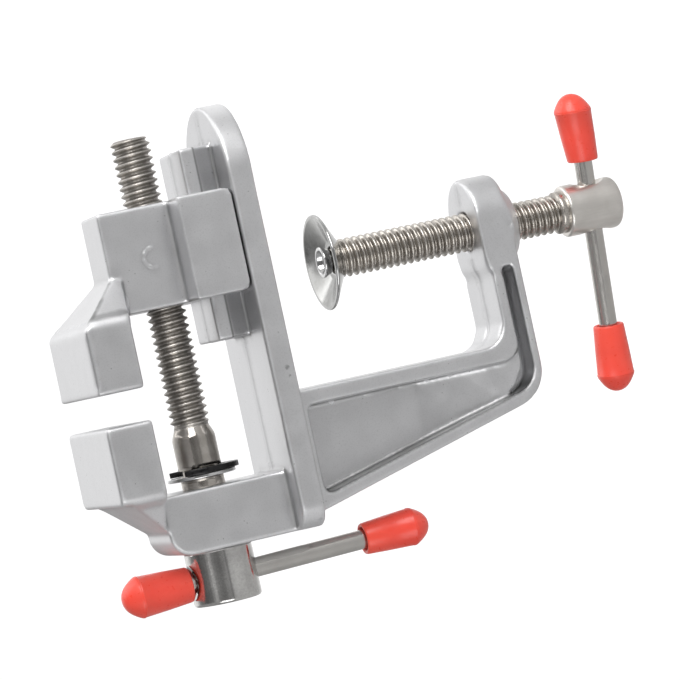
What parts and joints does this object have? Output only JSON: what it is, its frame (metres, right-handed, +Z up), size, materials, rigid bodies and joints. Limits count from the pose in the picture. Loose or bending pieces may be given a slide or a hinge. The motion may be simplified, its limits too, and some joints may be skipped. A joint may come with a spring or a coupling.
{
  "type": "mini bench vise",
  "caption": "Small clamp-on bench vise: a screw draws a hooked jaw along a dovetail rail, and a screw clamp with a dished pad below grips the table edge.",
  "frame": {"origin": "on the table face under the plate, where the clamp screw's axis meets it", "axes": "+Z up from the clamp arm towards the jaws, +X from the fixed jaw towards the plate's rounded free end, +Y across the jaws"},
  "size_m": [0.0984, 0.033, 0.1217],
  "materials": {
    "cast_aluminium": "tumbled satin casting",
    "screw_steel": "machined, lightly oiled",
    "hub_steel": "turned, polished",
    "bar_steel": "drawn rod",
    "pad_steel": "pressed, polished",
    "washer_steel": "bright",
    "black_spring_steel": "black oxide",
    "cap_red": "soft dipped vinyl"
  },
  "bodies": {
    "frame": {"frame_casting": "cast_aluminium"},
    "moving_jaw": {"moving_jaw": "cast_aluminium"},
    "jaw_screw": {"jaw_screw": "screw_steel", "jaw_screw_washer": "washer_steel", "jaw_screw_clip": "black_spring_steel", "jaw_screw_hub": "hub_steel"},
    "jaw_bar": {"jaw_bar": "bar_steel", "jaw_bar_upper_cap": "cap_red", "jaw_bar_lower_cap": "cap_red"},
    "pad": {"clamp_pad": "pad_steel"},
    "clamp_screw": {"clamp_screw": "screw_steel", "clamp_screw_hub": "hub_steel", "pad_rivet": "washer_steel"},
    "clamp_bar": {"clamp_bar": "bar_steel", "clamp_bar_front_cap": "cap_red", "clamp_bar_rear_cap": "cap_red"}
  },
  "joints": [
    {"name": "moving_jaw_travel", "type": "slide", "parent": "frame", "child": "moving_jaw", "axis": [1, 0, 0], "range_m": [-0.0063, 0.02]},
    {"name": "jaw_screw_spin", "type": "hinge", "parent": "frame", "child": "jaw_screw", "pos_m": [-0.05755, 0, 0.0197], "axis": [1, 0, 0], "range_deg": [-4788, 1500]},
    {"name": "jaw_bar_slide", "type": "slide", "parent": "jaw_screw", "child": "jaw_bar", "axis": [-0.0227, 0, 0.9997], "range_m": [0, 0.0231]},
    {"name": "clamp_travel", "type": "slide", "parent": "frame", "child": "pad", "axis": [0, 0, 1], "range_m": [-0.0271, 0.0108]},
    {"name": "clamp_screw_spin", "type": "hinge", "parent": "pad", "child": "clamp_screw", "pos_m": [0, 0, -0.0748], "axis": [0, 0, 1], "range_deg": [-6480, 2560]},
    {"name": "clamp_bar_slide", "type": "slide", "parent": "clamp_screw", "child": "clamp_bar", "axis": [0.9877, -0.1564, 0], "range_m": [-0.004, 0.0197]}
  ],
  "couplings": [
    {"joint": "moving_jaw_travel", "follows": "jaw_screw_spin", "m_per_rad": -0.00023873},
    {"joint": "clamp_travel", "follows": "clamp_screw_spin", "m_per_rad": 0.00023873}
  ]
}
